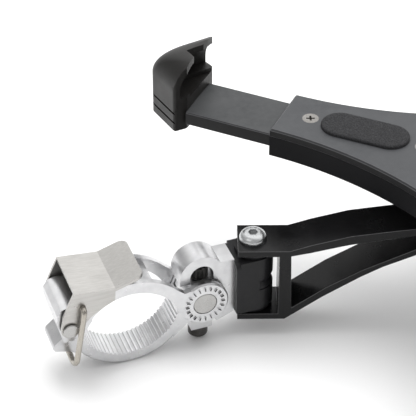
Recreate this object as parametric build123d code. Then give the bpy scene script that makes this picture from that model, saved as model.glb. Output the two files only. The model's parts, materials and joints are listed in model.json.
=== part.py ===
from build123d import *
import os
from math import cos, hypot, radians, sin, sqrt

# Four-arm tablet and phone holder on a quick-latch handlebar clamp.
# Origin: centre of the bar hole. +Y runs along the handlebar, +Z is up,
# +X points from the clamp towards the holder. Millimetres.

# ---------------------------------------------------------------- clamp jaws
JAW_IN = 17.5            # radius of each gripping arc, for a 35 mm bar
ARC_OFFSET = 3.7         # the two arc centres stand this far below and above the origin
JAW_WALL = 4.4
JAW_OUT = JAW_IN + JAW_WALL
SPLIT_GAP = 0.15         # half the gap between the closed jaws
UPPER_HALF = 8.0         # half width of the upper jaw
CHANNEL_HALF = 5.8       # half width of the channel along the upper jaw's back
CHANNEL_DEPTH = 2.0
WEB_END_X = 9.0          # the channel goes right through the wall beyond this
LOWER_HALF = 5.5
SLOT_HALF = 4.1          # slot in the lower jaw for the knuckle's eye
TOOTH_STEP = 5.2         # degrees between the gripping teeth
TOOTH_GROOVE = 0.45      # radius of the groove between two teeth
GROOVE_COUNT = 29
FIRST_GROOVE = -163      # degrees
MARK_COUNT = 20          # short marks round the hinge pin
MARK_AT = 6.4            # their distance from the hinge axis
MARK_SIZE = (1.3, 0.35)
MARK_DEPTH = 0.2

# ---------------------------------------------------------------- hinge and knuckle
PIN = (26.3, 2.0)        # hinge axis, X and Z
PIN_R = 4.25
RUN = 0.05               # radial clearance of every running fit
BOSS_R = 8.5
EAR_R = 7.6
EYE_R = 7.2
EYE_HALF = 3.8
BLOCK_HALF = 4.7
HOOD = (26.3, 11.7)      # centre of the hood's arch, X and Z
HOOD_OUT = 7.9
HOOD_IN = 4.2
HOOD_TIP_Z = 9.3
BLOCK_RIGHT = 38.0
BLOCK_TOP = 15.9
BLOCK_BOTTOM = -7.0
POCKET_FLOOR = 9.4
LOBE_BOTTOM = -12.4
LOBE = (22.6, 30.2)      # X range of the lobe that seats the lock screw
LOCK_R = 2.0             # M4 lock screw
LOCK_HEAD_R = 3.5
LOCK_HEAD_H = 4.4
LOCK_NUT_R = 3.6
LOCK_NUT_TOP = 13.7

# ---------------------------------------------------------------- latch
LEVER_PIN = (-22.0, 6.6)
LEVER_PIN_R = 2.0
LEVER_HALF = 10.5
SHEET = 1.0
WIRE_R = 1.0
WIRE_HOLE = (-17.5, 15.2)
WIRE_FOOT = (-21.5, -8.5)
WIRE_Y = 12.6
LUG_HALF = 8.6

# ---------------------------------------------------------------- clevis and bracket
SWIVEL_X = 46.5          # yaw axis
YAW = -19.4              # direction of the bracket in plan, degrees
TONGUE_R = 7.1
TONGUE_Z = (-7.0, 14.8)
BRACKET_HALF = 7.45
CLEVIS_U = (-5.3, 12.3)  # ends of the clevis along the bracket
CLEVIS_Z = (-10.9, 19.2)
CLEVIS_PLATE = 2.4
CLEVIS_WEB_U = 8.9
M5_R = 2.5
M5_HEAD_R = 4.75
M5_HEAD_H = 2.75
INSERT_R = 3.5           # brass insert that the M5 screw threads into
BUSH_R = 4.0
HUB_U = 90.9             # hub axis from the yaw axis
HUB_R = 15.0
HUB_Z = (22.6, 31.0)
M6_R = 3.0
M6_HEAD_R = 5.0
M6_HEAD_POCKET = 4.2     # depth of the pocket for the bolt's head
HUB_PASS_R = 3.4         # clearance hole for the hub bolt in the turning parts

# ---------------------------------------------------------------- cradle
TRAY_Z = (35.2, 43.2)
COVER_TOP = 46.2
REACH = 88.0             # hub axis to the end of each lobe
LOBE_HALF = 12.0
FLARE_R = 140.0
ARM_AZIMUTH = 180.0 - 44.5   # first arm, in plan
ARM_SPREAD = 34.6        # each arm stands this far from the holder's long axis
NOTCH_R = 15.0
ARM_HALF = 10.4
ARM_Z = (37.9, 42.9)
ARM_TAIL = 49.5          # tail of the arm, inward from the end of the lobe
SLOT_W = 3.4
SLOT_U = (8.6, 42.0)
ARM_OUT = 32.7           # bare arm between the lobe and the grip
TONGUE = (9.0, 5.5)      # length and half width of the arm's end inside the grip
GRIP_SCREW_U = REACH + ARM_OUT + TONGUE[0] / 2
SCREW_U = (10.4, 51.7)
M3_R = 1.5
M3_HEAD_R = 2.85
M3_HEAD_H = 1.65
M2_R = 1.25              # 2.5 mm thread-forming screws
PLATE_R = 17.0
PLATE_SCREW_U = 12.4     # radius of the ring of screws that hold the swivel plate
PLATE_SCREW_ANGLES = (45, 135, 225, 315)
TRAY_FLOOR = 2.5
PAD_U = 30.6
PAD_SIZE = (31.7, 13.6, 1.3)
DISC_Z = (HUB_Z[1], HUB_Z[1] + 1.6)          # friction disc under the swivel plate
PLATE_Z = (DISC_Z[1] + 0.1, TRAY_Z[0])
NUT_Z = (TRAY_Z[0] + 3.6, TRAY_Z[1] - 0.6)
SPRING_Z = (TRAY_Z[0] + 2.6, NUT_Z[0])

# ---------------------------------------------------------------- corner grip
# Its two outer walls meet at the grip's own origin and run along +X and +Y.
GRIP_Z = (34.8, 62.0)
SHELF_Z = 48.8
LIP_Z = 59.4             # underside of the lips
DOME_Z = 51.6            # the walls start to lean inwards here
DOME_R = 10.5
GRIP_WALL = 2.5
GRIP_LIP = 10.0          # reach of the lips from the outer faces
GRIP_PLAN = ((0, 0), (18.2, 0), (18.6, 5.0), (7.0, 22.8), (0, 22.0))
# The mouth between the two lips, in plan.
GRIP_MOUTH = ((GRIP_LIP, GRIP_LIP), (16.4, GRIP_LIP), (18.2, 6.5), (30, 6.5),
              (30, 30), (7.2, 30), (7.2, 22.2), (GRIP_LIP, 17.0))
GRIP_AT = (50.9, 2.7)    # the grip's origin: beyond the lobe's end, and off the arm's axis
GRIP_CORNER_R = 4.0
GRIP_FRONT_R = 1.2       # the other upright edges
GRIP_STEP = 4.5          # width of the shelf's raised border
GRIP_GROOVES = (3.6, 7.5)    # heights of the two outer grooves above the grip's underside


def side(sketch, low, high):
    """A sketch of X and Z, extruded along Y from low to high."""
    return Pos(0, high, 0) * extrude(Plane.XZ * sketch, amount=high - low, dir=(0, -1, 0))


def side_both(sketch, half):
    return side(sketch, -half, half)


def drum(x, z, radius, low, high):
    """A cylinder along Y."""
    return side(Pos(x, z) * Circle(radius), low, high)


def post(x, y, radius, low, high):
    """A cylinder along Z."""
    return Pos(x, y, low) * extrude(Circle(radius), amount=high - low)


def block(x, y, z):
    """A box from three (low, high) pairs."""
    centre = [(a + b) / 2 for a, b in (x, y, z)]
    return Pos(*centre) * Box(x[1] - x[0], y[1] - y[0], z[1] - z[0])


def poly(*points):
    return Polygon(*points, align=None)


def hex_socket(radius, depth):
    """A hexagonal recess, its mouth at Z 0 and opening upwards."""
    return Pos(0, 0, -depth) * extrude(RegularPolygon(radius, 6), amount=depth + 0.01)


# ================================================================ clamp
def lens():
    """The opening between the closed jaws, in X and Z."""
    return (Pos(0, ARC_OFFSET) * Circle(JAW_IN)) & (Pos(0, -ARC_OFFSET) * Circle(JAW_IN))


def lower_jaw():
    split = poly((-45, -8), (-26.9, -3.1), (-23.3, -SPLIT_GAP), (40, -SPLIT_GAP), (40, 40), (-45, 40))
    ring = Pos(0, ARC_OFFSET) * Circle(JAW_OUT) - split
    lug = poly((-16, -SPLIT_GAP), (-23.3, -SPLIT_GAP), (-26.6, -3.0), (-27.3, -4.4), (-26.6, -5.6),
               (-21.4, -7.2), (-18.0, -9.5))
    ear = Pos(*PIN) * Circle(EAR_R)
    ear += poly((16.0, -2.0), (17.4, 1.0), (21.0, 7.4), PIN, (23.0, -4.8), (15.5, -11.8))
    bar = lens()
    ring = side_both(ring - bar, LOWER_HALF)
    rims = ring.edges().filter_by(GeomType.CIRCLE).filter_by(lambda e: abs(e.radius - JAW_OUT) < 0.01)
    jaw = fillet(rims, 1.1) + side_both(lug + ear - bar, LOWER_HALF)
    jaw -= drum(*PIN, EYE_R + 0.4, -SLOT_HALF, SLOT_HALF)
    swing = side_both(poly((22.0, 2), (22.0, -20), (45, -20), (45, 2)), SLOT_HALF)
    jaw -= swing
    jaw -= Pos(PIN[0], 0, PIN[1]) * Rot(0, 22, 0) * Pos(-PIN[0], 0, -PIN[1]) * swing
    jaw -= drum(*PIN, PIN_R + RUN, -9, 9)
    grooves = []
    for n in range(GROOVE_COUNT):
        angle = radians(FIRST_GROOVE + n * TOOTH_STEP)
        grooves.append(Pos(JAW_IN * cos(angle), ARC_OFFSET + JAW_IN * sin(angle)) * Circle(TOOTH_GROOVE))
    return jaw - side_both(Sketch() + grooves, LOWER_HALF + 1)


def upper_jaw():
    split = poly((-45, SPLIT_GAP), (40, SPLIT_GAP), (40, -40), (-45, -40))
    ring = Pos(0, -ARC_OFFSET) * Circle(JAW_OUT) - split
    saddle = poly((17.3, SPLIT_GAP), (20.8, -4.4), PIN, (21.4, 9.0), (19.1, 8.5), (16.2, 11.0))
    bar = lens()
    boss = drum(*PIN, BOSS_R, -UPPER_HALF, UPPER_HALF)
    boss = chamfer(boss.edges().filter_by(GeomType.CIRCLE), 0.5)
    jaw = side_both(ring + saddle - bar, UPPER_HALF) + boss
    channel = Pos(0, -ARC_OFFSET) * Circle(60) - Pos(0, -ARC_OFFSET) * Circle(JAW_OUT - CHANNEL_DEPTH)
    channel = channel & poly((-13.5, 0), (WEB_END_X, 0), (WEB_END_X, 40), (-13.5, 40))
    jaw -= side_both(channel, CHANNEL_HALF)
    jaw -= block((WEB_END_X, 50), (-CHANNEL_HALF, CHANNEL_HALF), (-20, 40))
    lug = poly((-15.5, SPLIT_GAP), (-24.1, SPLIT_GAP), (-24.9, 3.6), (-26.0, 9.5), (-25.9, 12.0),
               (-24.4, 14.2), (-21.5, 15.0), (-13.0, 13.6), (-13.0, 11.5))
    jaw += side_both(lug - bar, LUG_HALF)
    jaw -= drum(*LEVER_PIN, LEVER_PIN_R, -12, 12)
    jaw -= drum(*PIN, PIN_R + RUN, -12, 12)
    ring_marks = []
    for n in range(MARK_COUNT):
        mark = Pos(MARK_AT, 0) * Rectangle(*MARK_SIZE)
        ring_marks.append(Pos(*PIN) * Rot(0, 0, n * 360 / MARK_COUNT) * mark)
    return jaw - side(Sketch() + ring_marks, -UPPER_HALF - 1, -UPPER_HALF + MARK_DEPTH)


def lever_pin():
    """Riveted pin with a low round head at each end."""
    head = LEVER_HALF + 0.9
    pin = drum(*LEVER_PIN, LEVER_PIN_R, -head, head)
    for low, high in ((-head, -LEVER_HALF - 0.1), (LEVER_HALF + 0.1, head)):
        pin += drum(*LEVER_PIN, 2.7, low, high)
    return pin


def latch_lever():
    """Folded sheet: top plate, thumb tab and two side plates."""
    cheek = poly((-20.2, 21.5), (-6.0, 20.0), (-6.3, 15.2), (-10.5, 13.2), (-14.7, 10.4), (-17.4, 7.6),
                 (-19.2, 5.0), (-24.6, 5.0), (-25.1, 7.7), (-24.3, 12.3), (-22.2, 17.2))
    cheek += Pos(*LEVER_PIN) * Circle(3.2)
    top = poly((-20.2, 21.5), (-6.0, 20.0), (3.95, 23.05), (4.25, 22.1), (-6.0, 18.95), (-20.2, 20.45))
    lever = side(cheek, -LEVER_HALF, -LEVER_HALF + SHEET) + side(cheek, LEVER_HALF - SHEET, LEVER_HALF)
    lever += side_both(top, LEVER_HALF)
    corners = lever.edges().filter_by(lambda e: e.length < 1.3 and e.center().X > 3.5)
    lever = fillet(corners, 3.0)
    lever -= drum(*LEVER_PIN, LEVER_PIN_R + RUN, -12, 12)
    return lever - drum(*WIRE_HOLE, WIRE_R + RUN, -12, 12)


def wire_bail():
    """One bent wire: two ends in the lever, two legs and the cross bar."""
    (hx, hz), (fx, fz) = WIRE_HOLE, WIRE_FOOT
    end = LEVER_HALF - SHEET - 0.6
    points = [(hx, -end, hz), (hx, -WIRE_Y, hz), (fx, -WIRE_Y, fz),
              (fx, WIRE_Y, fz), (hx, WIRE_Y, hz), (hx, end, hz)]
    path = FilletPolyline(*points, radius=[1.4, 4.0, 4.0, 1.4])
    start = Plane(origin=points[0], z_dir=(0, -1, 0))
    return sweep(start * Circle(WIRE_R), path)


# ================================================================ knuckle
def swivel_block():
    x, z = HOOD
    inner = x + HOOD_IN
    tip = poly((x - HOOD_OUT, z), (x - HOOD_OUT, HOOD_TIP_Z), (x - HOOD_IN, HOOD_TIP_Z), (x - HOOD_IN, z))
    hood = Pos(x, z) * Circle(HOOD_OUT) - poly((0, z), (40, z), (40, -10), (0, -10))
    pocket = Pos(x, z) * Circle(HOOD_IN)
    pocket += poly((x - HOOD_IN, z), (inner, z), (inner, POCKET_FLOOR), (x - HOOD_IN, POCKET_FLOOR))
    body = poly((inner, POCKET_FLOOR), (inner, BLOCK_TOP), (BLOCK_RIGHT, BLOCK_TOP),
                (BLOCK_RIGHT, BLOCK_BOTTOM), (31.6, -9.6), (28.0, -4.0), (28.0, POCKET_FLOOR))
    wide = side_both(hood + tip + body - pocket, BLOCK_HALF)
    for low, high in ((-BLOCK_HALF - 1, -EYE_HALF), (EYE_HALF, BLOCK_HALF + 1)):
        wide -= drum(*PIN, EAR_R + 0.4, low, high)
    eye = Pos(*PIN) * Circle(EYE_R)
    eye += poly((LOBE[0], PIN[1]), (LOBE[0], LOBE_BOTTOM), (LOBE[1], LOBE_BOTTOM), (LOBE[1], -9.0),
                (33.0, -6.0), (33.0, POCKET_FLOOR), (26.3, 9.2))
    eye -= poly((LOBE[0] - 4, POCKET_FLOOR), (inner, POCKET_FLOOR), (inner, 14), (0, 14))
    knuckle = wide + side_both(eye, EYE_HALF)
    knuckle -= drum(*PIN, PIN_R, -9, 9)
    knuckle -= post(PIN[0], 0, LOCK_R, LOBE_BOTTOM - 1, POCKET_FLOOR + 0.5)
    knuckle -= block((32.6, BLOCK_RIGHT + 1), (-2.6, 2.6), (-3.0, 11.0))
    return knuckle


def hinge_pin():
    pin = drum(*PIN, PIN_R, -UPPER_HALF, UPPER_HALF)
    pin = chamfer(pin.edges().filter_by(GeomType.CIRCLE), 0.3)
    return pin - post(PIN[0], 0, LOCK_R, -10, 20)


def lock_screw():
    head_top = LOBE_BOTTOM
    head = post(PIN[0], 0, LOCK_HEAD_R, head_top - LOCK_HEAD_H, head_top)
    head = fillet(head.edges().group_by(Axis.Z)[0], 0.6)
    head -= Pos(PIN[0], 0, head_top - LOCK_HEAD_H) * Rot(180, 0, 0) * hex_socket(1.75, 2.4)
    return head + post(PIN[0], 0, LOCK_R, head_top, LOCK_NUT_TOP - 0.8)


def lock_nut():
    """Knurled barrel nut under the hood."""
    nut = Circle(LOCK_NUT_R) - Circle(LOCK_R)
    flutes = []
    for n in range(14):
        flutes.append(Rot(0, 0, n * 360 / 14) * Pos(LOCK_NUT_R + 0.15, 0) * Circle(0.5))
    nut -= Sketch() + flutes
    return Pos(PIN[0], 0, POCKET_FLOOR) * extrude(nut, amount=LOCK_NUT_TOP - POCKET_FLOOR)


def pivot_tongue():
    low, high = TONGUE_Z
    root = BLOCK_RIGHT + 1.6
    plan = Pos(SWIVEL_X, 0) * Circle(TONGUE_R)
    plan += poly((root, -TONGUE_R), (SWIVEL_X, -TONGUE_R), (SWIVEL_X, TONGUE_R), (root, TONGUE_R))
    tongue = Pos(0, 0, low) * extrude(plan, amount=high - low)
    flange = block((BLOCK_RIGHT, root), (-TONGUE_R - 0.3, TONGUE_R + 0.3), (low + 0.6, high))
    far_corner = flange.edges().filter_by(Axis.X).group_by(Axis.Z)[-1]
    tongue += fillet(far_corner, 2.4)
    tongue += block((32.6, BLOCK_RIGHT + 0.5), (-2.6, 2.6), (-3.0, 11.0))
    middle = (low + high) / 2
    groove = poly((0, middle - 2.4), (0, middle + 2.4), (-0.9, middle))
    section = Pos(TONGUE_R, 0) * groove + Pos(TONGUE_R, middle) * Rectangle(0.6, 4.8)
    ring = Pos(SWIVEL_X, 0, 0) * revolve(Plane.XZ * section, Axis.Z)
    ring &= block((SWIVEL_X, SWIVEL_X + 12), (-12, 12), (low, high))
    tongue -= ring
    return tongue - post(SWIVEL_X, 0, BUSH_R, low - 1, high + 1)


def pivot_bush():
    low, high = TONGUE_Z
    return post(SWIVEL_X, 0, BUSH_R, low, high) - post(SWIVEL_X, 0, M5_R + RUN, low - 1, high + 1)


# ================================================================ bracket, laid along +X from the yaw axis
def bracket_place(shape):
    return Pos(SWIVEL_X, 0, 0) * Rot(0, 0, YAW) * shape


def bracket_arm():
    (u0, u1), (z0, z1) = CLEVIS_U, CLEVIS_Z
    outline = poly((u0, z0), (u1 - 1.1, z0), (24.1, -0.9), (37.0, 7.9), (44.3, 12.2), (56.5, 17.8),
                   (68.0, 21.8), (HUB_U, HUB_Z[0]), (HUB_U, HUB_Z[1]), (74.0, 30.4), (56.5, 28.8),
                   (44.3, 27.2), (32.8, 25.5), (20.1, 21.9), (u1, z1), (u0, z1))
    low, high = z0 + CLEVIS_PLATE, z1 - CLEVIS_PLATE
    mouth = poly((u0 - 1, low), (CLEVIS_WEB_U, low), (CLEVIS_WEB_U, high), (u0 - 1, high))
    window = poly((13.4, -5.9), (25.6, 3.5), (37.0, 10.6), (56.8, 20.6), (66.0, 24.6), (66.5, 26.4),
                  (56.8, 26.0), (40.8, 23.2), (33.0, 21.9), (27.6, 20.6), (19.3, 18.4), (12.9, 16.9))
    arm = side_both(outline - mouth - window, BRACKET_HALF)
    arm += post(HUB_U, 0, HUB_R, *HUB_Z)
    arm -= post(HUB_U, 0, M6_R, HUB_Z[0] - 1, HUB_Z[1] + 1)
    arm -= post(HUB_U, 0, M6_HEAD_R + 1.2, HUB_Z[0] - 1, HUB_Z[0] + M6_HEAD_POCKET)
    arm -= post(0, 0, M5_R, 0, z1 + 1)
    return arm - post(0, 0, INSERT_R, z0 + 0.6, 0)


def pivot_screw():
    top = CLEVIS_Z[1]
    dome = post(0, 0, M5_HEAD_R, top, top + M5_HEAD_H)
    dome = fillet(dome.edges().group_by(Axis.Z)[-1], 2.3)
    dome -= Pos(0, 0, top + M5_HEAD_H) * hex_socket(1.75, 1.6)
    return dome + post(0, 0, M5_R, CLEVIS_Z[0] + 0.8, top)


def pivot_insert():
    """Threaded brass insert in the clevis's lower plate."""
    low, high = CLEVIS_Z[0] + 0.6, CLEVIS_Z[0] + CLEVIS_PLATE
    return post(0, 0, INSERT_R, low, high) - post(0, 0, M5_R, low - 1, high + 1)


def pivot_washers():
    z0, z1 = CLEVIS_Z
    lower = post(0, 0, 6.4, z0 + CLEVIS_PLATE, TONGUE_Z[0] - 0.1)
    upper = post(0, 0, 6.4, TONGUE_Z[1] + 0.1, z1 - CLEVIS_PLATE)
    return (lower + upper) - post(0, 0, M5_R, z0, z1)


def hub_bolt():
    head, seat = HUB_Z[0] + 0.2, HUB_Z[0] + M6_HEAD_POCKET
    bolt = post(HUB_U, 0, M6_HEAD_R, head, seat)
    bolt -= Pos(HUB_U, 0, head) * Rot(180, 0, 0) * hex_socket(2.9, 2.5)
    return bolt + post(HUB_U, 0, M6_R, seat, NUT_Z[1])


def hub_ring(outer, bore, levels):
    """A flat ring round the hub bolt."""
    return post(HUB_U, 0, outer, *levels) - post(HUB_U, 0, bore, levels[0] - 1, levels[1] + 1)


def hub_disc():
    return hub_ring(HUB_R - 0.8, M6_R, DISC_Z)


def hub_spring_washer():
    return hub_ring(6.0, M6_R, SPRING_Z)


def hub_nut():
    low, high = NUT_Z
    nut = Pos(HUB_U, 0, low) * extrude(RegularPolygon(5.6, 6), amount=high - low)
    return nut - post(HUB_U, 0, M6_R, low - 1, high + 1)


# ================================================================ cradle, built about the hub axis
HUB_XY = (SWIVEL_X + HUB_U * cos(radians(YAW)), HUB_U * sin(radians(YAW)))
AZIMUTHS = [ARM_AZIMUTH, ARM_AZIMUTH - 2 * ARM_SPREAD, ARM_AZIMUTH + 180, ARM_AZIMUTH + 180 - 2 * ARM_SPREAD]


def around(azimuth, shape):
    """Turns a shape built with the arm along +X to its place at the hub."""
    return Pos(HUB_XY[0], HUB_XY[1], 0) * Rot(0, 0, azimuth) * shape


def lobe_outline():
    """One lobe, along +X, with both flanks flaring as arcs towards the hub."""
    def half(u):
        return LOBE_HALF + FLARE_R - sqrt(FLARE_R**2 - u**2)

    near, far = REACH, REACH * 0.5
    flank = ThreePointArc((REACH, LOBE_HALF), (far, half(near - far)), (0, half(near)))
    back = Line((0, half(near)), (0, -half(near)))
    other = ThreePointArc((0, -half(near)), (far, -half(near - far)), (REACH, -LOBE_HALF))
    end = Line((REACH, -LOBE_HALF), (REACH, LOBE_HALF))
    return make_face([flank, back, other, end])


def cradle_slab(low, high):
    """The cross-shaped plate that the tray and the cover share."""
    plan = Sketch()
    for azimuth in AZIMUTHS:
        plan += Rot(0, 0, azimuth) * lobe_outline()
    slab = extrude(plan, amount=high - low)
    inner = [e for e in slab.edges().filter_by(Axis.Z) if 30 < hypot(e.center().X, e.center().Y) < 70]
    slab = fillet(inner, NOTCH_R)
    return Pos(HUB_XY[0], HUB_XY[1], low) * slab


def rib_pocket(floor, top):
    """The ring of hollows round the hub, between eight ribs."""
    x, y = HUB_XY
    ring = post(x, y, 30, floor, top) - post(x, y, 13, floor - 1, top + 1)
    rib = block((0, 40), (-1.2, 1.2), (floor - 1, top + 1))
    for azimuth in AZIMUTHS:
        ring -= around(azimuth, rib)
        ring -= around(azimuth + 90, rib)
    return ring


def lower_tray():
    low, high = TRAY_Z
    tray = cradle_slab(low, high)
    floor = low + TRAY_FLOOR
    for azimuth in AZIMUTHS:
        half = ARM_HALF + 0.2
        tray -= around(azimuth, block((REACH - ARM_TAIL - 1.0, REACH + 5), (-half, half), (floor, high + 1)))
        for u in SCREW_U:
            tray -= around(azimuth, post(REACH - u, 0, M3_R, low + 0.5, high + 1))
        tray -= around(azimuth, block((REACH - 32, REACH - 22), (-4, 4), (floor - 1.0, floor + 1)))
    tray -= rib_pocket(floor, high + 1)
    x, y = HUB_XY
    tray -= post(x, y, 8.0, floor, high + 1)
    tray -= post(x, y, HUB_PASS_R, low - 1, high + 1)
    for angle in PLATE_SCREW_ANGLES:
        tray -= around(angle, post(PLATE_SCREW_U, 0, M2_R, low - 1, low + 5))
    return tray


def screw_cone(radius, height):
    """A countersunk head's cone, its wide end at Z 0 when it is M3_HEAD_H high."""
    align = (Align.CENTER, Align.CENTER, Align.MIN)
    return Pos(0, 0, -M3_HEAD_H) * Cone(M3_R, radius, height, align=align)


def top_cover():
    cover = cradle_slab(TRAY_Z[1], COVER_TOP)
    rim = cover.faces().sort_by(Axis.Z)[-1].outer_wire().edges()
    cover = chamfer(rim, 0.6)
    for azimuth in AZIMUTHS:
        for u in SCREW_U:
            cone = Pos(REACH - u, 0, COVER_TOP) * screw_cone(M3_HEAD_R + 0.1, M3_HEAD_H + 0.01)
            cover -= around(azimuth, cone + post(REACH - u, 0, M3_R, TRAY_Z[1] - 1, COVER_TOP - 1.6))
    return cover


def cover_screw():
    """Countersunk M3 screw with a cross recess, its head flush with Z 0."""
    shank = post(0, 0, M3_R, TRAY_Z[0] + 0.5 - COVER_TOP, -M3_HEAD_H)
    recess = Rectangle(3.0, 0.7) + Rectangle(0.7, 3.0)
    return screw_cone(M3_HEAD_R, 1.6) + shank - Pos(0, 0, -1.1) * extrude(recess, amount=2)


def cover_screws():
    screws = []
    for azimuth in AZIMUTHS:
        for u in SCREW_U:
            screws.append(around(azimuth, Pos(REACH - u, 0, COVER_TOP) * Rot(0, 0, 25) * cover_screw()))
    return Compound(children=screws)


def foam_pad():
    """Oval pad, along the arm."""
    length, width, height = PAD_SIZE
    pad = extrude(SlotOverall(length, width), amount=height)
    pad = fillet(pad.edges().group_by(Axis.Z)[-1], 0.5)
    return Pos(REACH - PAD_U, 0, COVER_TOP) * pad


def brake_pads():
    """Acetal blocks that press on the undersides of the arms."""
    pad = block((REACH - 31.9, REACH - 22.1), (-3.9, 3.9), (TRAY_Z[0] + 1.5, ARM_Z[0] - 0.05))
    return Compound(children=[around(azimuth, pad) for azimuth in AZIMUTHS])


def swivel_plate():
    x, y = HUB_XY
    low, high = PLATE_Z
    plate = post(x, y, PLATE_R, low, high) - post(x, y, HUB_PASS_R, low - 1, high + 1)
    for angle in PLATE_SCREW_ANGLES:
        plate -= around(angle, post(PLATE_SCREW_U, 0, M2_R, low - 1, high + 1))
        plate -= around(angle, post(PLATE_SCREW_U, 0, 2.4, low - 1, low + 1.2))
    return plate


def swivel_plate_screws():
    head = post(PLATE_SCREW_U, 0, 2.3, PLATE_Z[0] + 0.2, PLATE_Z[0] + 1.2)
    screw = head + post(PLATE_SCREW_U, 0, M2_R, PLATE_Z[0] + 1.2, TRAY_Z[0] + 4.5)
    return Compound(children=[around(angle, screw) for angle in PLATE_SCREW_ANGLES])


# ================================================================ arms and grips, along +X from the hub
def grip_tongue():
    """The end of the arm that the grip is moulded round."""
    length, half = TONGUE
    return block((REACH + ARM_OUT, REACH + ARM_OUT + length), (-half, half), ARM_Z)


def arm_bar():
    low, high = ARM_Z
    bar = block((REACH - ARM_TAIL, REACH + ARM_OUT), (-ARM_HALF, ARM_HALF), (low, high))
    tail = bar.edges().filter_by(Axis.Z).group_by(Axis.X)[0]
    bar = fillet(tail, 2.0)
    slot = Pos(REACH - sum(SLOT_U) / 2, 0) * SlotOverall(SLOT_U[1] - SLOT_U[0], SLOT_W)
    bar -= Pos(0, 0, low - 1) * extrude(slot, amount=high - low + 2)
    long_edges = bar.edges().filter_by(Axis.X).group_by(Axis.Z)[-1]
    bar = chamfer(long_edges, 0.4)
    bar += grip_tongue()
    return bar - post(GRIP_SCREW_U, 0, M2_R, low - 1, high + 1)


def grip_section(inset, radius, z):
    """The region inside both outer faces, moved inwards by inset, at height z."""
    reach = 40
    turn = radius * (1 - sqrt(0.5))
    arc = ThreePointArc((inset, inset + radius), (inset + turn, inset + turn), (inset + radius, inset))
    rest = Polyline((inset + radius, inset), (reach, inset), (reach, reach), (inset, reach),
                    (inset, inset + radius))
    return Pos(0, 0, z) * make_face([arc] + rest.edges())


def grip_dome(offset, low, top):
    """A solid bounded by upright walls that lean over into a dome, offset inwards."""
    radius = DOME_R - offset
    upright = [grip_section(offset, GRIP_CORNER_R, z) for z in (low, DOME_Z)]
    heights = [DOME_Z + (top - DOME_Z) * share for share in (0, 0.3, 0.55, 0.75, 0.9, 1.0)]
    leaning = []
    for z in heights:
        inset = offset + radius - sqrt(radius**2 - (z - DOME_Z)**2)
        leaning.append(grip_section(inset, GRIP_CORNER_R + 0.9 * (inset - offset), z))
    return loft(upright, ruled=True) + loft(leaning)


def corner_grip(hand):
    """Moulded rubber corner, turned so that it closes the end of an arm along +X.

    hand is 1 or -1 for the two mirrored forms."""
    low, high = GRIP_Z
    plan = poly(*GRIP_PLAN)
    plan = fillet(plan.vertices().sort_by(lambda v: hypot(v.X, v.Y))[1:], GRIP_FRONT_R)
    body = Pos(0, 0, low) * extrude(plan, amount=high - low)
    body = chamfer(body.edges().group_by(Axis.Z)[0], 0.6)
    body &= grip_dome(0, low, high - 0.2)
    cavity = grip_dome(GRIP_WALL, SHELF_Z, LIP_Z)
    body -= cavity
    body -= Pos(0, 0, SHELF_Z + 3) * extrude(poly(*GRIP_MOUTH), amount=high)
    shelf = GRIP_WALL + GRIP_STEP
    body -= block((shelf, 40), (shelf, 40), (SHELF_Z - 1.6, SHELF_Z + 1))
    for height in GRIP_GROOVES:
        outside = Pos(0, 0, low + height) * extrude(Rectangle(80, 80), amount=0.8)
        body -= outside - grip_dome(0.5, low, LIP_Z)
    body = mirror(body, Plane.XZ) if hand < 0 else body
    turn = 180 - ARM_SPREAD if hand > 0 else 180 + ARM_SPREAD
    grip = Pos(REACH + GRIP_AT[0], hand * GRIP_AT[1], 0) * Rot(0, 0, turn) * body
    grip -= block((0, REACH + ARM_OUT), (-40, 40), (low - 1, high + 1))
    grip -= grip_tongue()
    grip -= post(GRIP_SCREW_U, 0, M2_R, low - 1, SHELF_Z - 3)
    return grip - post(GRIP_SCREW_U, 0, 2.6, low - 1, low + 1.2)


def grip_screw():
    low = GRIP_Z[0]
    seat = low + 1.2
    return post(GRIP_SCREW_U, 0, 2.5, low + 0.2, seat) + post(GRIP_SCREW_U, 0, M2_R, seat, ARM_Z[1])


PARTS = {
    "lower_jaw": lower_jaw(),
    "upper_jaw": upper_jaw(),
    "lever_pin": lever_pin(),
    "latch_lever": latch_lever(),
    "wire_bail": wire_bail(),
    "swivel_block": swivel_block(),
    "hinge_pin": hinge_pin(),
    "lock_screw": lock_screw(),
    "lock_nut": lock_nut(),
    "pivot_tongue": pivot_tongue(),
    "pivot_bush": pivot_bush(),
    "bracket_arm": bracket_place(bracket_arm()),
    "pivot_screw": bracket_place(pivot_screw()),
    "pivot_insert": bracket_place(pivot_insert()),
    "pivot_washers": bracket_place(pivot_washers()),
    "hub_bolt": bracket_place(hub_bolt()),
    "hub_disc": bracket_place(hub_disc()),
    "hub_spring_washer": bracket_place(hub_spring_washer()),
    "hub_nut": bracket_place(hub_nut()),
    "swivel_plate": swivel_plate(),
    "swivel_plate_screws": swivel_plate_screws(),
    "lower_tray": lower_tray(),
    "top_cover": top_cover(),
    "cover_screws": cover_screws(),
    "brake_pads": brake_pads(),
}
for number, azimuth in enumerate(AZIMUTHS, 1):
    PARTS[f"foam_pad_{number}"] = around(azimuth, foam_pad())
    PARTS[f"arm_bar_{number}"] = around(azimuth, arm_bar())
    PARTS[f"corner_grip_{number}"] = around(azimuth, corner_grip(1 if number % 2 else -1))
    PARTS[f"grip_screw_{number}"] = around(azimuth, grip_screw())

os.makedirs("parts", exist_ok=True)
for node, shape in PARTS.items():
    export_step(shape, f"parts/{node}.step")
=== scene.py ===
import json
import math

import bmesh
import bpy
from mathutils import Matrix, Vector

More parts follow.
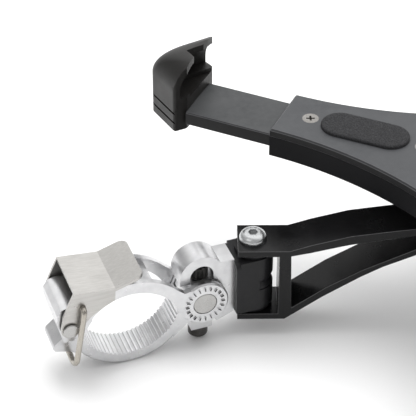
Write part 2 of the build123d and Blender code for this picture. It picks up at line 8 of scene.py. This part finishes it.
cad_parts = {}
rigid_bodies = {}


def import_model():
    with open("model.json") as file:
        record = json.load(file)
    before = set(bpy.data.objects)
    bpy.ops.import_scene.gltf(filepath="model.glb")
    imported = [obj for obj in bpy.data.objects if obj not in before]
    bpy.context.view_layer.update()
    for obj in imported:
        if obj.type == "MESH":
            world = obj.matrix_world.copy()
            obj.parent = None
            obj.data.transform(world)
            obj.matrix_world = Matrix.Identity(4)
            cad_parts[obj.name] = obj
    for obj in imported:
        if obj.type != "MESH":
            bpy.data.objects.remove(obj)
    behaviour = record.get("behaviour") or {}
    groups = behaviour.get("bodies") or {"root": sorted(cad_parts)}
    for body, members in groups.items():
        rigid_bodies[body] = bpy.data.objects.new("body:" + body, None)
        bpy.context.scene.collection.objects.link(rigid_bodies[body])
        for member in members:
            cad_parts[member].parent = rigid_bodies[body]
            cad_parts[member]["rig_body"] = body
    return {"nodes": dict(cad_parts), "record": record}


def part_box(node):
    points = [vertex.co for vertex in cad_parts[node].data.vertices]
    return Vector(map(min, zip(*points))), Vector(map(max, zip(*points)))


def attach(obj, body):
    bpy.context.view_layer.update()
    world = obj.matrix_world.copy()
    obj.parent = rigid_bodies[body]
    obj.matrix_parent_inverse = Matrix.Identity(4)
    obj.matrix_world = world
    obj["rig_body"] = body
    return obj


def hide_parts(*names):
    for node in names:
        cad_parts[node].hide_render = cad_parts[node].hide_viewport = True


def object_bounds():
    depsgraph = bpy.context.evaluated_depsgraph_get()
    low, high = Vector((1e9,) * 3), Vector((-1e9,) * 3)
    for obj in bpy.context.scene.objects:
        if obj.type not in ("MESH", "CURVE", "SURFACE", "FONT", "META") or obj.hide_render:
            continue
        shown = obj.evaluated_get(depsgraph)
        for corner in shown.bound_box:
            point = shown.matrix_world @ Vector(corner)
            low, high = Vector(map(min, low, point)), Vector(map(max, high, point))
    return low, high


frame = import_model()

MM = 0.001
NODES = frame["nodes"]
CAD_BOX = [list(corner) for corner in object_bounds()]
ARMS = (1, 2, 3, 4)


# ---------------------------------------------------------------- materials
class Finish:
    """A Principled material whose patterns follow the piece's own coordinates, in metres."""

    def __init__(self, name, **constants):
        self.material = bpy.data.materials.new(name)
        self.material.use_nodes = True
        self.tree = self.material.node_tree
        self.shader = self.tree.nodes["Principled BSDF"]
        self.place = self.tree.nodes.new("ShaderNodeTexCoord").outputs["Object"]
        self.height = None
        for socket, value in constants.items():
            self.shader.inputs[socket.replace("_", " ")].default_value = value

    def link(self, source, target):
        """Joins an output to an input."""
        self.tree.links.new(source, target)

    def stretched(self, scale):
        """The piece's coordinates, scaled unevenly, for grain that runs one way."""
        node = self.tree.nodes.new("ShaderNodeMapping")
        node.inputs["Scale"].default_value = scale
        self.link(self.place, node.inputs["Vector"])
        return node.outputs["Vector"]

    def noise(self, size_mm, detail=3.0, roughness=0.5, place=None):
        """Soft clouds with lumps of about this size, from 0 to 1."""
        node = self.tree.nodes.new("ShaderNodeTexNoise")
        node.inputs["Scale"].default_value = 1 / (size_mm * MM)
        node.inputs["Detail"].default_value = detail
        node.inputs["Roughness"].default_value = roughness
        self.link(place or self.place, node.inputs["Vector"])
        return node.outputs["Fac"]

    def cells(self, size_mm, feature="F1"):
        """How far a point is from the middle of its cell, in a pattern of cells of about this size."""
        node = self.tree.nodes.new("ShaderNodeTexVoronoi")
        node.feature = feature
        node.inputs["Scale"].default_value = 1 / (size_mm * MM)
        self.link(self.place, node.inputs["Vector"])
        return node.outputs["Distance"]

    def facing_up(self):
        """1 where the piece's own surface faces up, 0 where it stands upright."""
        split = self.tree.nodes.new("ShaderNodeSeparateXYZ")
        self.link(self.place.node.outputs["Normal"], split.inputs["Vector"])
        return self.spread(split.outputs["Z"], 0.0, 1.0, start=0.55, end=0.9)

    def spread(self, fac, low, high, start=0.3, end=0.7):
        """A value or a colour that goes from low to high as fac goes from start to end."""
        if isinstance(low, tuple):
            node = self.tree.nodes.new("ShaderNodeValToRGB")
            ramp = node.color_ramp.elements
            ramp[0].position, ramp[1].position = start, end
            ramp[0].color, ramp[1].color = (*low, 1), (*high, 1)
            self.link(fac, node.inputs["Fac"])
            return node.outputs["Color"]
        node = self.tree.nodes.new("ShaderNodeMapRange")
        ends = {"From Min": start, "From Max": end, "To Min": low, "To Max": high}
        for socket, value in ends.items():
            node.inputs[socket].default_value = value
        self.link(fac, node.inputs["Value"])
        return node.outputs["Result"]

    def mix(self, fac, first, second):
        """The first colour where fac is 0, and the second where it is 1."""
        node = self.tree.nodes.new("ShaderNodeMix")
        node.data_type = "RGBA"
        self.link(fac, node.inputs["Factor"])
        colours = [socket for socket in node.inputs if socket.type == "RGBA"]
        for source, socket in zip((first, second), colours):
            if isinstance(source, tuple):
                socket.default_value = (*source, 1)
            else:
                self.link(source, socket)
        return next(socket for socket in node.outputs if socket.type == "RGBA")

    def bump(self, height, depth_mm, strength):
        """Relief of this depth, on top of any relief that is there already."""
        node = self.tree.nodes.new("ShaderNodeBump")
        node.inputs["Distance"].default_value = depth_mm * MM
        node.inputs["Strength"].default_value = strength
        self.link(height, node.inputs["Height"])
        if self.height is not None:
            self.link(self.height, node.inputs["Normal"])
        self.height = node.outputs["Normal"]
        self.link(self.height, self.shader.inputs["Normal"])

    def put(self, socket, source):
        """Sends an output to one of the shader's own inputs."""
        self.link(source, self.shader.inputs[socket])


def cast_aluminium(name, low, high):
    """Tumbled die casting: bright, softly uneven, with fine peening."""
    f = Finish(name, Metallic=1.0)
    f.put("Base Color", f.spread(f.noise(4.0, detail=4.0), low, high))
    f.put("Roughness", f.spread(f.noise(2.2, detail=4.0), 0.27, 0.36))
    f.bump(f.noise(3.5, detail=2.0), depth_mm=0.02, strength=0.2)
    f.bump(f.noise(0.5, detail=2.0), depth_mm=0.003, strength=0.3)
    return f.material


def machined(name, low, high, rough, grain=(1, 1, 14), line_mm=0.5):
    """Turned or drawn metal with fine lines one way. grain squeezes the pattern along each axis."""
    f = Finish(name, Metallic=1.0)
    lines = f.noise(line_mm, detail=4.0, place=f.stretched(grain))
    f.put("Base Color", f.mix(f.spread(f.noise(3.0), 0.0, 0.5), f.spread(lines, low, high), low))
    f.put("Roughness", f.spread(lines, rough - 0.06, rough + 0.08))
    f.bump(lines, depth_mm=0.008, strength=0.5)
    return f.material


def stainless_sheet():
    """Brushed sheet: long fine scratches along the lever, faint smears across it."""
    f = Finish("stainless_sheet", Metallic=1.0, Anisotropic=0.35)
    brushed = f.noise(0.45, detail=6.0, roughness=0.65, place=f.stretched((0.035, 1, 1)))
    smear = f.noise(6.0)
    f.put("Base Color", f.spread(brushed, (0.40, 0.39, 0.373), (0.51, 0.50, 0.483), start=0.25, end=0.75))
    f.put("Roughness", f.spread(smear, 0.27, 0.42))
    f.bump(brushed, depth_mm=0.008, strength=0.5)
    return f.material


def moulded(name, low, high, rough, grain_mm, grain_depth, level=0.5, painted_side_shade=None):
    """Moulded plastic: a fine spark-eroded grain and a slow change of tone.

    painted_side_shade, if given, is a darker colour painted on the faces that stand upright as painted
    shade, which leaves the tops lighter as a painted sheen."""
    f = Finish(name, Specular_IOR_Level=level)
    mottle = f.noise(2.4, detail=5.0, roughness=0.65)
    tone_and_painted_shade = f.mix(f.spread(mottle, 0.0, 1.0), f.spread(f.noise(22.0), low, high), high)
    # Upright faces get the darker colour and tops keep the lighter one: painted shade on the sides,
    # painted sheen on the tops.
    if painted_side_shade:
        tone_and_painted_shade = f.mix(f.facing_up(), painted_side_shade, tone_and_painted_shade)
    f.put("Base Color", tone_and_painted_shade)
    f.put("Roughness", f.spread(f.noise(9.0, detail=4.0), rough - 0.05, rough + 0.06))
    f.bump(f.cells(grain_mm, "SMOOTH_F1"), grain_depth, strength=0.6)
    return f.material


def foam():
    """Closed-cell foam: dull, with small pits and a scatter of lighter cells."""
    f = Finish("foam", Specular_IOR_Level=0.25)
    cell = f.cells(0.42)
    speck = f.noise(0.8, detail=4.0, roughness=0.7)
    base = f.spread(cell, (0.012, 0.012, 0.013), (0.035, 0.035, 0.037), start=0.1, end=0.7)
    scatter = f.spread(speck, 0.0, 1.0, start=0.55, end=0.8)
    f.put("Base Color", f.mix(scatter, base, (0.07, 0.07, 0.073)))
    f.put("Roughness", f.spread(speck, 0.8, 0.95))
    f.bump(f.noise(1.6), depth_mm=0.12, strength=0.5)
    f.bump(cell, depth_mm=0.12, strength=0.8)
    return f.material


def floor_paper():
    """Matt white paper, faintly uneven."""
    f = Finish("floor_paper", Roughness=0.9, Specular_IOR_Level=0.1)
    f.put("Base Color", f.spread(f.noise(180.0, detail=2.0), (0.90, 0.90, 0.90), (0.93, 0.93, 0.93)))
    f.bump(f.noise(1.5, detail=4.0), depth_mm=0.03, strength=0.2)
    return f.material


FINISHES = {
    "cast_aluminium": cast_aluminium("cast_aluminium", (0.57, 0.57, 0.58), (0.67, 0.67, 0.675)),
    "pin_steel": machined(
        "pin_steel", (0.40, 0.395, 0.385), (0.50, 0.495, 0.485), rough=0.30, grain=(14, 1, 14)),
    "stainless_sheet": stainless_sheet(),
    "stainless_wire": machined(
        "stainless_wire", (0.36, 0.335, 0.295), (0.48, 0.455, 0.41), rough=0.27, grain=(1, 1, 0.08)),
    "dark_steel": machined("dark_steel", (0.045, 0.044, 0.043), (0.12, 0.115, 0.11), rough=0.34),
    "black_nylon": moulded(
        "black_nylon", (0.010, 0.010, 0.011), (0.017, 0.017, 0.018),
        rough=0.36, grain_mm=0.5, grain_depth=0.01, level=0.2),
    "brass": machined("brass", (0.62, 0.46, 0.20), (0.80, 0.63, 0.32), rough=0.28),
    "gloss_black": moulded(
        "gloss_black", (0.003, 0.003, 0.003), (0.005, 0.005, 0.0055),
        rough=0.24, grain_mm=0.9, grain_depth=0.003, level=0.22),
    "nickel_steel": machined("nickel_steel", (0.22, 0.21, 0.20), (0.36, 0.35, 0.33), rough=0.38),
    "bright_steel": machined(
        "bright_steel", (0.50, 0.51, 0.515), (0.58, 0.59, 0.595), rough=0.27, line_mm=1.5),
    "acetal": moulded(
        "acetal", (0.72, 0.71, 0.67), (0.80, 0.79, 0.75), rough=0.42, grain_mm=0.6, grain_depth=0.01),
    "plate_aluminium": machined(
        "plate_aluminium", (0.60, 0.60, 0.61), (0.76, 0.76, 0.77), rough=0.33),
    "tray_plastic": moulded(
        "tray_plastic", (0.004, 0.004, 0.0045), (0.006, 0.006, 0.007),
        rough=0.42, grain_mm=0.32, grain_depth=0.02, level=0.13),
    # The cover and arms keep lighter tops and near-black upright faces: painted sheen on the tops,
    # painted shade on the upright faces.
    "cover_plastic": moulded(
        "cover_plastic", (0.040, 0.042, 0.046), (0.062, 0.064, 0.068),
        rough=0.50, grain_mm=0.30, grain_depth=0.04, level=0.3, painted_side_shade=(0.003, 0.003, 0.0035)),
    "foam": foam(),
    "arm_plastic": moulded(
        "arm_plastic", (0.034, 0.036, 0.038), (0.056, 0.058, 0.060),
        rough=0.50, grain_mm=0.28, grain_depth=0.035, level=0.3, painted_side_shade=(0.005, 0.005, 0.0055)),
    "grip_rubber": moulded(
        "grip_rubber", (0.0070, 0.0064, 0.0059), (0.0105, 0.0097, 0.0090),
        rough=0.42, grain_mm=0.34, grain_depth=0.05, level=0.32),
}

# A lighter finish on the rounded edges, a painted highlight along them, for the slots that get it.
PAINTED_EDGE_HIGHLIGHT = {
    "cast_aluminium": cast_aluminium(
        "cast_aluminium_painted_highlight", (0.74, 0.74, 0.745), (0.86, 0.86, 0.865)),
    "stainless_sheet": machined(
        "stainless_sheet_painted_highlight", (0.52, 0.51, 0.49), (0.66, 0.65, 0.63), rough=0.26),
    "gloss_black": moulded(
        "gloss_black_painted_highlight", (0.035, 0.035, 0.036), (0.07, 0.07, 0.072),
        rough=0.26, grain_mm=0.9, grain_depth=0.003),
    "cover_plastic": moulded(
        "cover_plastic_painted_highlight", (0.05, 0.05, 0.053), (0.09, 0.09, 0.095),
        rough=0.45, grain_mm=0.30, grain_depth=0.02),
    "arm_plastic": moulded(
        "arm_plastic_painted_highlight", (0.045, 0.045, 0.048), (0.08, 0.08, 0.085),
        rough=0.45, grain_mm=0.28, grain_depth=0.02),
}


# ---------------------------------------------------------------- pieces
EDGE_ANGLE = 28          # degrees; an edge that turns by more is rounded
EDGE_ANGLE_OF = {"latch_lever": 12}      # the bend of its tab is shallow but crisp
EDGE_SEGMENTS = 2
SAME_POINT = 0.002 * MM  # corners nearer than this are one
FLAT_ANGLE = 0.6         # degrees; facets that turn by less are one face

# The width of each node's rounded edges, in millimetres.
EDGE_ROUND = {
    "lower_jaw": 0.16,
    "upper_jaw": 0.22,
    "latch_lever": 0.14,
    "swivel_block": 0.30,
    "pivot_tongue": 0.18,
    "bracket_arm": 0.30,
    "lower_tray": 0.25,
    "top_cover": 0.12,
    "hinge_pin": 0.10,
    "lever_pin": 0.25,
    "lock_screw": 0.12,
    "lock_nut": 0.10,
    "hub_bolt": 0.15,
    "hub_nut": 0.20,
    "hub_disc": 0.15,
    "swivel_plate": 0.15,
}
for number in ARMS:
    EDGE_ROUND[f"arm_bar_{number}"] = 0.14
    EDGE_ROUND[f"corner_grip_{number}"] = 0.20

SLOTS = {entry["node"]: entry["material_slot"] for entry in frame["record"]["subparts"]}


def new_piece(name, mesh, body, slot, *nodes):
    """A piece in this slot's finish that rides on the body and stands for the nodes, if any."""
    piece = bpy.data.objects.new(name, mesh)
    bpy.context.scene.collection.objects.link(piece)
    mesh.materials.clear()
    mesh.materials.append(FINISHES[slot])
    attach(piece, body)
    if nodes:
        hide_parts(*nodes)
    return piece


def mesh_from(bm, name):
    """A new mesh with the bmesh's shape. The bmesh is freed."""
    mesh = bpy.data.meshes.new(name)
    bm.to_mesh(mesh)
    bm.free()
    return mesh


def smooth_by_angle(mesh, degrees):
    """Smooth shading, with the edges that turn by more than this left sharp."""
    bm = bmesh.new()
    bm.from_mesh(mesh)
    for face in bm.faces:
        face.smooth = True
    for edge in bm.edges:
        edge.smooth = len(edge.link_faces) == 2 and edge.calc_face_angle(0) < math.radians(degrees)
    bm.to_mesh(mesh)
    bm.free()


def rounded(node, slot, width_mm):
    """The node's shape again with its facets joined up and every crisp edge rounded off."""
    source = NODES[node]
    bm = bmesh.new()
    bm.from_mesh(source.data)
    bmesh.ops.remove_doubles(bm, verts=bm.verts, dist=SAME_POINT)
    bmesh.ops.dissolve_limit(bm, angle_limit=math.radians(FLAT_ANGLE), verts=bm.verts, edges=bm.edges)
    mesh = mesh_from(bm, node + "_finished")
    angle = EDGE_ANGLE_OF.get(node, EDGE_ANGLE)
    smooth_by_angle(mesh, angle)
    piece = new_piece(node + "_finished", mesh, source["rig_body"], slot, node)
    bevel = piece.modifiers.new("edge_round", "BEVEL")
    bevel.width = width_mm * MM
    bevel.segments = EDGE_SEGMENTS
    bevel.limit_method = "ANGLE"
    bevel.angle_limit = math.radians(angle)
    bevel.miter_outer = "MITER_ARC"
    # The bevel's rounded edges take the lighter finish: a painted highlight along every rounded edge.
    if slot in PAINTED_EDGE_HIGHLIGHT:
        mesh.materials.append(PAINTED_EDGE_HIGHLIGHT[slot])
        bevel.material = 1
    even = piece.modifiers.new("even_shading", "WEIGHTED_NORMAL")
    even.keep_sharp = True


for node, source in NODES.items():
    slot = SLOTS[node]
    if node in EDGE_ROUND:
        rounded(node, slot, EDGE_ROUND[node])
    elif not node.startswith("foam_pad"):
        source.data.materials.clear()
        source.data.materials.append(FINISHES[slot])


# ---------------------------------------------------------------- foam pads
# Up the pad's side and over its crown: inset from the rim in millimetres, and share of the height.
PAD_PROFILE = (
    (0.0, 0.0), (0.0, 0.45), (0.12, 0.72), (0.40, 0.90),
    (1.0, 0.965), (2.2, 0.985), (4.2, 1.0), (6.2, 1.0),
)
PAD_STEPS = 14           # segments in each rounded end, and in each straight side
PAD_SHARP = 50           # degrees
BASE_BAND = 0.01 * MM    # corners this close above the lowest one are in the base


def oval_outline(length, width, steps):
    """Points round an oval with straight sides, centred on the origin and along X."""
    radius = width / 2
    half = length / 2 - radius
    points = []
    for end in (1, -1):
        for n in range(steps + 1):
            angle = math.radians(-90 * end + 180 * n / steps)
            points.append((end * half + radius * math.cos(angle), radius * math.sin(angle)))
        for n in range(1, steps):
            points.append((end * half * (1 - 2 * n / steps), end * radius))
    return points


def crowned_pad(node):
    """Foam pad with rolled edges and a low crown, in the place of its CAD solid."""
    low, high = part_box(node)
    centre = (low + high) / 2
    centre.z = low.z
    base = [v.co - centre for v in NODES[node].data.vertices if v.co.z < low.z + BASE_BAND]
    far = max(base, key=lambda corner: corner.length)
    along = far.normalized()
    across = Vector((-along.y, along.x, 0))
    length = 2 * far.length
    width = 2 * max(abs(corner.dot(across)) for corner in base)
    half_core = (length - width) / 2
    outline = oval_outline(length, width, PAD_STEPS)
    bm = bmesh.new()
    loops = []
    for inset_mm, rise in PAD_PROFILE:
        z = low.z + rise * (high.z - low.z)
        loop = []
        for x, y in outline:
            core = max(-half_core, min(half_core, x))
            out = Vector((x - core, y))
            out = out.normalized() * (out.length - inset_mm * MM)
            point = centre + along * (core + out.x) + across * out.y
            loop.append(bm.verts.new((point.x, point.y, z)))
        loops.append(loop)
    for inner, outer in zip(loops[1:], loops):
        for n in range(len(outline)):
            after = (n + 1) % len(outline)
            bm.faces.new((outer[n], outer[after], inner[after], inner[n]))
    bm.faces.new(loops[-1])
    bm.faces.new(list(reversed(loops[0])))
    bmesh.ops.recalc_face_normals(bm, faces=bm.faces)
    mesh = mesh_from(bm, node + "_crowned")
    smooth_by_angle(mesh, PAD_SHARP)
    piece = new_piece(node + "_crowned", mesh, "cradle", "foam", node)


for number in ARMS:
    crowned_pad(f"foam_pad_{number}")


# ---------------------------------------------------------------- index marks
MARK_COUNT = 20
MARK_REACH = 6.4 * MM    # from the hinge's axis to the middle of a mark
MARK_HALF_LONG = 0.62 * MM
MARK_HALF_WIDE = 0.16 * MM
MARK_SUNK = 0.10 * MM    # from the jaw's face down to the enamel
MARK_DEPTH = 0.16 * MM


def index_inlays():
    """Dark enamel in the ring of short marks round the jaw's hinge pin."""
    low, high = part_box("hinge_pin")
    hinge = Matrix.Translation(((low[0] + high[0]) / 2, 0, (low[2] + high[2]) / 2))
    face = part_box("upper_jaw")[0][1]
    bm = bmesh.new()
    for n in range(MARK_COUNT):
        turn = Matrix.Rotation(2 * math.pi * n / MARK_COUNT, 4, "Y")
        place = hinge @ turn @ Matrix.Translation((MARK_REACH, 0, 0))
        for vert in bmesh.ops.create_cube(bm, size=2.0)["verts"]:
            x, y, z = vert.co
            point = place @ Vector((x * MARK_HALF_LONG, 0, z * MARK_HALF_WIDE))
            depth = MARK_SUNK if y < 0 else MARK_SUNK + MARK_DEPTH
            vert.co = (point.x, face + depth, point.z)
    new_piece("index_inlays", mesh_from(bm, "index_inlays"), "upper_jaw", "black_nylon")


index_inlays()


# ---------------------------------------------------------------- floor, light and camera
FLOOR_GAP = 0.1 * MM     # under the object's lowest point
FLOOR_HALF = 12.0
LIGHT_TARGET = Vector((0.07, 0.0, 0.02))


def floor():
    """A wide square of pale paper under the object."""
    z = CAD_BOX[0][2] - FLOOR_GAP
    corners = [(x * FLOOR_HALF, y * FLOOR_HALF, z) for x, y in ((-1, -1), (1, -1), (1, 1), (-1, 1))]
    mesh = bpy.data.meshes.new("floor")
    mesh.from_pydata(corners, [], [(0, 1, 2, 3)])
    mesh.materials.append(floor_paper())
    paper = bpy.data.objects.new("floor", mesh)
    bpy.context.scene.collection.objects.link(paper)


def bearing(azimuth, elevation):
    """The direction at these degrees round from -Y towards +X, and up from level."""
    a, e = math.radians(azimuth), math.radians(elevation)
    return Vector((math.sin(a) * math.cos(e), -math.cos(a) * math.cos(e), math.sin(e)))


def area_light(name, azimuth, elevation, distance, size, watts):
    """A square soft box at this bearing from the target, which it faces."""
    back = bearing(azimuth, elevation)
    lamp = bpy.data.lights.new(name, "AREA")
    lamp.size = size
    lamp.energy = watts
    holder = bpy.data.objects.new(name, lamp)
    holder.location = LIGHT_TARGET + back * distance
    holder.rotation_mode = "QUATERNION"
    holder.rotation_quaternion = (-back).to_track_quat("-Z", "Y")
    bpy.context.scene.collection.objects.link(holder)
    return holder


def studio_world(dim, bright, azimuth, elevation, start, end):
    """A plain white surround that glows round one bearing, like a lit backdrop.

    Its strength rises as the cosine of the angle from that bearing goes from start to end."""
    world = bpy.data.worlds.new("studio")
    bpy.context.scene.world = world
    world.use_nodes = True
    tree = world.node_tree
    background = tree.nodes["Background"]
    towards = tree.nodes.new("ShaderNodeVectorMath")
    towards.operation = "DOT_PRODUCT"
    towards.inputs[1].default_value = bearing(azimuth, elevation)
    tree.links.new(tree.nodes.new("ShaderNodeTexCoord").outputs["Generated"], towards.inputs[0])
    level = tree.nodes.new("ShaderNodeMapRange")
    level.interpolation_type = "SMOOTHSTEP"
    ends = {"From Min": start, "From Max": end, "To Min": dim, "To Max": bright}
    for socket, value in ends.items():
        level.inputs[socket].default_value = value
    tree.links.new(towards.outputs["Value"], level.inputs["Value"])
    background.inputs["Color"].default_value = (1, 1, 1, 1)
    tree.links.new(level.outputs["Result"], background.inputs["Strength"])


floor()
key = area_light("key", azimuth=150, elevation=76, distance=1.1, size=1.0, watts=9.5)
key.visible_glossy = False
area_light("fill", azimuth=-70, elevation=50, distance=1.2, size=0.6, watts=1.0)
studio_world(dim=0.55, bright=1.60, azimuth=132, elevation=36, start=0.25, end=0.95)

VIEW_TURN = math.radians(20.0)       # round from -Y towards -X
VIEW_RISE = math.radians(37.43)
VIEW_DISTANCE = 600 * MM
MIDDLE_RIGHT = 28.34                 # the middle of the view, in millimetres from the bar hole's centre
MIDDLE_UP = 35.26
SENSOR_WIDTH = 36.0
FOCAL_LENGTH = 152.13
RIGHT = Vector((math.cos(VIEW_TURN), -math.sin(VIEW_TURN), 0))
UP = Vector((
    math.sin(VIEW_TURN) * math.sin(VIEW_RISE),
    math.cos(VIEW_TURN) * math.sin(VIEW_RISE),
    math.cos(VIEW_RISE),
))
BACK = RIGHT.cross(UP)
LOOK_AT = (RIGHT * MIDDLE_RIGHT + UP * MIDDLE_UP) * MM
camera_data = bpy.data.cameras.new("camera")
camera_data.sensor_width = SENSOR_WIDTH
camera_data.lens = FOCAL_LENGTH
camera = bpy.data.objects.new("camera", camera_data)
camera.rotation_mode = "QUATERNION"
camera.location = LOOK_AT + BACK * VIEW_DISTANCE
camera.rotation_quaternion = Matrix((RIGHT, UP, BACK)).transposed().to_quaternion()
bpy.context.scene.collection.objects.link(camera)
bpy.context.scene.camera = camera
bpy.context.scene.view_settings.view_transform = "Standard"
